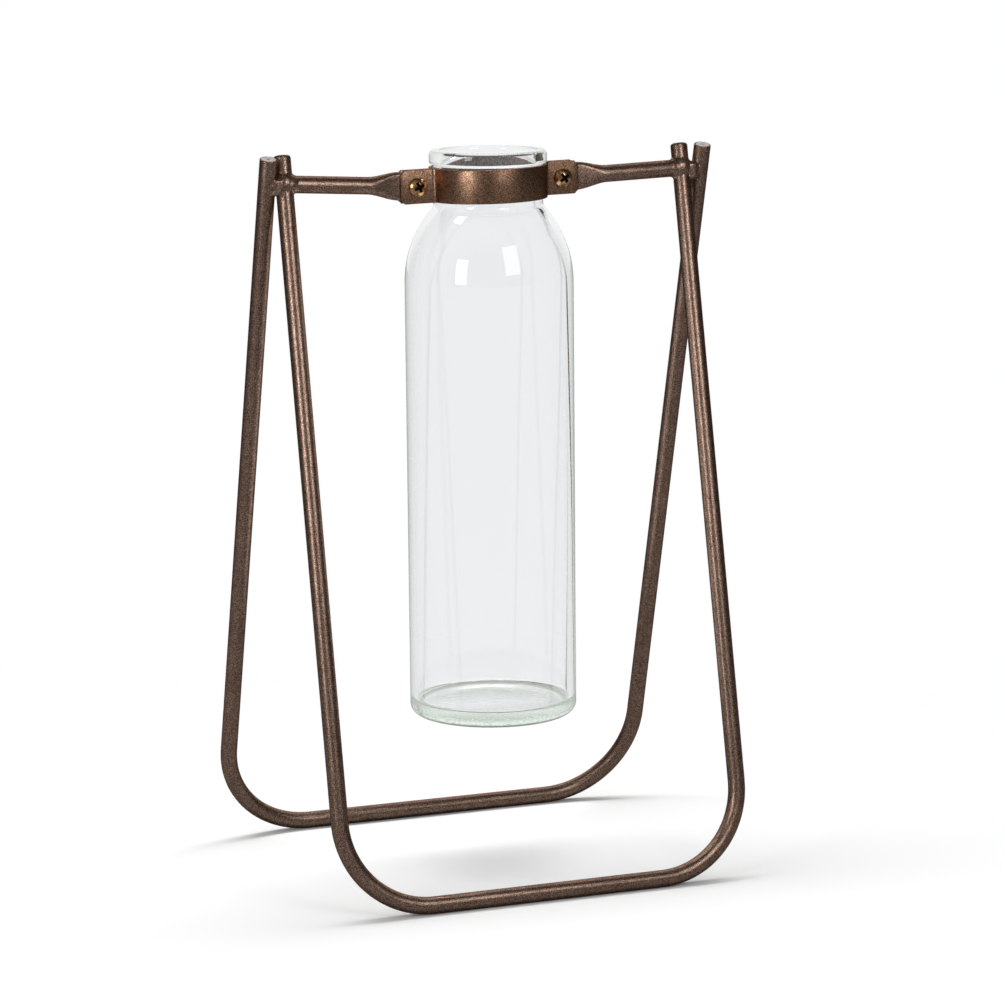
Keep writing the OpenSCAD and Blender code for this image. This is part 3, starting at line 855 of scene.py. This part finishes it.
def bottle_profile():
    """(radius, height) points of the glass, from the hollow under the base, up outside and down inside."""
    neck_z = SEAT_Z - NECK_H
    lip_r = NECK_R + LIP_OUT
    mouth_r = NECK_R - WALL
    lip_edge_r = (lip_r - mouth_r) * LIP_EDGE_SHARE
    fillet_x = NECK_R + NECK_FILLET_R
    shoulder_x = BODY_R - SHOULDER_R
    rise = math.sqrt((SHOULDER_R + NECK_FILLET_R) ** 2 - (fillet_x - shoulder_x) ** 2)
    shoulder_z = neck_z - rise
    meet = math.degrees(math.atan2(rise, fillet_x - shoulder_x))
    punt_r = BEARING_R * PUNT_SHARE
    punt_sphere_r = (punt_r ** 2 + PUNT_H ** 2) / (2 * PUNT_H)
    punt_angle = math.degrees(math.asin(punt_r / punt_sphere_r))
    heights = np.linspace(BOTTLE_Z + HEEL_R, shoulder_z, 26)[1:-1]
    outside = arc(0, BOTTLE_Z + PUNT_H - punt_sphere_r, punt_sphere_r, 90, 90 - punt_angle, 10)
    outside += arc(BEARING_R, BOTTLE_Z + HEEL_R, HEEL_R, 270, 360, 26)
    outside += [(BODY_R, z) for z in heights]
    outside += arc(shoulder_x, shoulder_z, SHOULDER_R, 0, meet, 30)
    outside += arc(fillet_x, neck_z, NECK_FILLET_R, 180 + meet, 180, 8)[1:]
    outside += arc(NECK_R + LIP_ROOT_R, SEAT_Z - LIP_ROOT_R, LIP_ROOT_R, 180, 90, 6)
    outside += arc(lip_r - LIP_UNDER_R, SEAT_Z + LIP_UNDER_R, LIP_UNDER_R, 270, 360, 10)
    outside += arc(lip_r - lip_edge_r, LIP_TOP_Z - lip_edge_r, lip_edge_r, 0, 90, 10)
    inside = arc(mouth_r + lip_edge_r, LIP_TOP_Z - lip_edge_r, lip_edge_r, 90, 180, 10)
    inside += arc(fillet_x, neck_z, NECK_FILLET_R + WALL, 180, 180 + meet, 8)
    inside += arc(shoulder_x, shoulder_z, SHOULDER_R - WALL, meet, 0, 30)[1:]
    inside += [(BODY_R - WALL, z) for z in heights[::-1] if z > BOTTLE_Z + BASE_T + FLOOR_R]
    inside += arc(BODY_R - WALL - FLOOR_R, BOTTLE_Z + BASE_T + FLOOR_R, FLOOR_R, 360, 270, 14)
    inside += [(r, BOTTLE_Z + BASE_T) for r in np.linspace(BODY_R - WALL - FLOOR_R, 0, 8)[1:]]
    return outside + inside


def bottle(glass):
    """The bottle in one wall of glass, hung on the collar's axis."""
    obj = lathe("blown_bottle", bottle_profile(), BOTTLE_SIDES, glass)
    outward(obj.data)
    place(obj, Matrix.Translation((0, HANG_Y, 0)))
    return obj


# Studio


def photo_camera():
    """Camera where the photograph was taken from, found from where the stand's corners lie in it."""
    azimuth, elevation, roll = (math.radians(v) for v in (-20.935, 9.987, -0.546))
    target = Vector((4.555 * MM, HANG_Y, 140.388 * MM))
    distance = 1397.273 * MM
    turn = Matrix.Rotation(azimuth, 4, "Z") @ Matrix.Rotation(math.pi / 2 - elevation, 4, "X")
    data = bpy.data.cameras.new("camera")
    data.sensor_width = 36
    data.lens = 131.43
    camera = bpy.data.objects.new("camera", data)
    camera.matrix_world = Matrix.Translation(target) @ turn @ Matrix.Translation((0, 0, distance))
    camera.matrix_world = camera.matrix_world @ Matrix.Rotation(roll, 4, "Z")
    bpy.context.scene.collection.objects.link(camera)
    bpy.context.scene.camera = camera


def toward(azimuth, elevation):
    """Unit vector from the object, from degrees; azimuth 0 is the front, and grows to the right."""
    a, e = math.radians(azimuth), math.radians(elevation)
    return Vector((math.sin(a) * math.cos(e), -math.cos(a) * math.cos(e), math.sin(e)))


def softbox(name, azimuth, elevation, distance, size, level, aim):
    """A lamp whose face shows at this brightness in a mirror."""
    data = bpy.data.lights.new(name, "AREA")
    data.shape = "RECTANGLE"
    data.size, data.size_y = size
    data.energy = level * math.pi * size[0] * size[1]
    obj = bpy.data.objects.new(name, data)
    at = Vector(aim) + toward(azimuth, elevation) * distance
    facing = (at - Vector(aim)).to_track_quat("Z", "Y").to_matrix().to_4x4()
    obj.matrix_world = Matrix.Translation(at) @ facing
    bpy.context.scene.collection.objects.link(obj)
    return obj


def studio_world():
    """White to the eye and through glass; a bright ceiling for paint; in mirrors, grey walls and a cove behind."""
    world = bpy.data.worlds.new("studio")
    bpy.context.scene.world = world
    world.use_nodes = True
    tree = world.node_tree
    tree.nodes.clear()
    way = add(tree, "ShaderNodeTexCoord").outputs["Generated"]
    levels = []
    # Each row: the middle of a bright or dim field, its edge and core as cosines, the levels outside and in it
    for middle, edge, core, outside, inside in ((toward(159, 26), 0.62, 0.85, 0.035, 1.0),
                                                (toward(-33, -5), 0.1, 0.6, 0.0, 0.14),
                                                (toward(-21, -10), 0.2, 0.8, 1.0, 0.35),
                                                (Vector((0, 0, 1)), 0.5, 0.95, 0.1, 0.7)):
        facing = add(tree, "ShaderNodeVectorMath", {0: way, 1: middle}, operation="DOT_PRODUCT")
        level = add(tree, "ShaderNodeMapRange", {"Value": facing.outputs["Value"], "From Min": edge,
                                                 "From Max": core, "To Min": outside, "To Max": inside},
                    interpolation_type="SMOOTHSTEP")
        levels.append(level.outputs["Result"])
    cove, walls, backdrop, ceiling = levels
    shine = add(tree, "ShaderNodeMath", {0: cove, 1: walls}, operation="ADD").outputs[0]
    path = add(tree, "ShaderNodeLightPath").outputs
    seen = add(tree, "ShaderNodeMath", {0: path["Is Camera Ray"], 1: path["Is Transmission Ray"]}, operation="MAXIMUM")
    mirrored = add(tree, "ShaderNodeMix", {"Factor": path["Is Glossy Ray"], "A": ceiling, "B": shine})
    level = add(tree, "ShaderNodeMix", {"Factor": seen.outputs[0], "A": mirrored.outputs[0], "B": backdrop})
    light = add(tree, "ShaderNodeBackground", {"Color": (1, 1, 1, 1), "Strength": level.outputs[0]})
    add(tree, "ShaderNodeOutputWorld", {"Surface": light.outputs["Background"]})


def white_floor():
    """A white floor that shows the object's shadow and runs into the backdrop; dim where metal mirrors it."""
    mat, tree = new_material("white_floor")
    place_at = add(tree, "ShaderNodeTexCoord").outputs["Object"]
    away = add(tree, "ShaderNodeVectorMath", {0: place_at}, operation="LENGTH").outputs["Value"]
    path = add(tree, "ShaderNodeLightPath").outputs
    seen = add(tree, "ShaderNodeMath", {0: path["Is Camera Ray"], 1: path["Is Transmission Ray"]}, operation="MAXIMUM")
    white = add(tree, "ShaderNodeMapRange", {"Value": seen.outputs[0], "To Min": 0.25, "To Max": 0.8})
    paint = add(tree, "ShaderNodeBsdfDiffuse", {"Color": white.outputs["Result"]})
    level = add(tree, "ShaderNodeMath", {0: seen.outputs[0], 1: FLOOR_GLOW}, operation="MULTIPLY")
    glow = add(tree, "ShaderNodeEmission", {"Color": (1, 1, 1, 1), "Strength": level.outputs[0]})
    lit = add(tree, "ShaderNodeAddShader", {0: paint.outputs["BSDF"], 1: glow.outputs["Emission"]})
    plain = add(tree, "ShaderNodeEmission", {"Color": (1, 1, 1, 1), "Strength": 1.0})
    far = add(tree, "ShaderNodeMapRange", {"Value": away, "From Min": BACKDROP_FROM, "From Max": BACKDROP_FULL},
              interpolation_type="SMOOTHSTEP")
    share = add(tree, "ShaderNodeMath", {0: far.outputs["Result"], 1: seen.outputs[0]}, operation="MULTIPLY")
    either = add(tree, "ShaderNodeMixShader", {"Fac": share.outputs[0], 1: lit.outputs["Shader"],
                                               2: plain.outputs["Emission"]})
    add(tree, "ShaderNodeOutputMaterial", {"Surface": either.outputs["Shader"]})
    corners = [(x * FLOOR_HALF, y * FLOOR_HALF, 0) for x, y in ((-1, -1), (1, -1), (1, 1), (-1, 1))]
    new_object("floor", mesh_of("floor", corners, [(0, 1, 2, 3)]), mat)


def studio():
    """World, floor and lamps: two softboxes for the metal's shine, and a long strip overhead for the shadows."""
    bpy.context.scene.view_settings.view_transform = "Standard"
    studio_world()
    white_floor()
    for name, azimuth, elevation, size, level in (("left_softbox", -58, 13.5, (0.19, 0.29), 5.6),
                                                  ("front_softbox", 12, 24.5, (0.25, 0.34), 3.6)):
        lamp = softbox(name, azimuth, elevation, distance=0.7, size=size, level=level, aim=(0, 0, 0.2))
        lamp.visible_transmission = False
    top = softbox("top_softbox", 180, 80, distance=1.2, size=(1.5, 0.26), level=10.4, aim=(0, 0, 0))
    top.visible_glossy = False


# Build

coat = powder_coat("bronze_powder_coat", "#463930", "#947a6b", "#e8c0ab")
# The collar's halves are bolted on, from a batch of a warmer bronze
strip_coat = powder_coat("warm_bronze_powder_coat", "#463529", "#94735d", "#e8b898")
# Painted shade for the collar's inner faces
inner_shade_coat = painted_shade_coat()
steel = sawn_steel()
zinc = yellow_zinc()
# Painted shade for the screws' recesses
recess_shade = recess_dirt()
glass = bottle_glass()

rods = rod_tree()
threads = thread_tree()

front = bent_frame("front_leg_frame_rod", rods, -STANCE / 2, FRONT_SHIFT, FRONT_SPAN, FRONT_BEND_R,
                   FRONT_RISES, coat)
finish_piece(front, "stand", "bronze_coat", "front_leg_frame")
rear = bent_frame("rear_leg_frame_rod", rods, STANCE / 2, 0, REAR_SPAN, REAR_BEND_R, REAR_RISES, coat, steel)
finish_piece(rear, "stand", "bronze_coat", "rear_leg_frame")

for half_name, front_sign in (("front", 1), ("rear", -1)):
    piece = collar_half(f"{half_name}_collar_strip", front_sign, strip_coat, inner_shade_coat)
    finish_piece(piece, "stand", "bronze_coat", f"{half_name}_collar_half")

for side_name, side, turn in (("left", -1, math.radians(25)), ("right", 1, math.radians(35))):
    piece = arm(f"{side_name}_arm_rod", side, coat)
    finish_piece(piece, "stand", "bronze_coat", f"{side_name}_arm")
    piece = weld(f"{side_name}_weld_metal", side, coat)
    finish_piece(piece, "stand", "bronze_coat", f"{side_name}_arm_weld", f"{side_name}_leg_weld")
    piece = screw(f"{side_name}_pan_screw", side, turn, threads, zinc, recess_shade)
    finish_piece(piece, "stand", "yellow_zinc", f"{side_name}_screw")
    piece = nut(f"{side_name}_hex_nut", side, zinc)
    finish_piece(piece, "stand", "yellow_zinc", f"{side_name}_nut")

finish_piece(bottle(glass), "bottle", "clear_glass", "glass_bottle")

photo_camera()
studio()
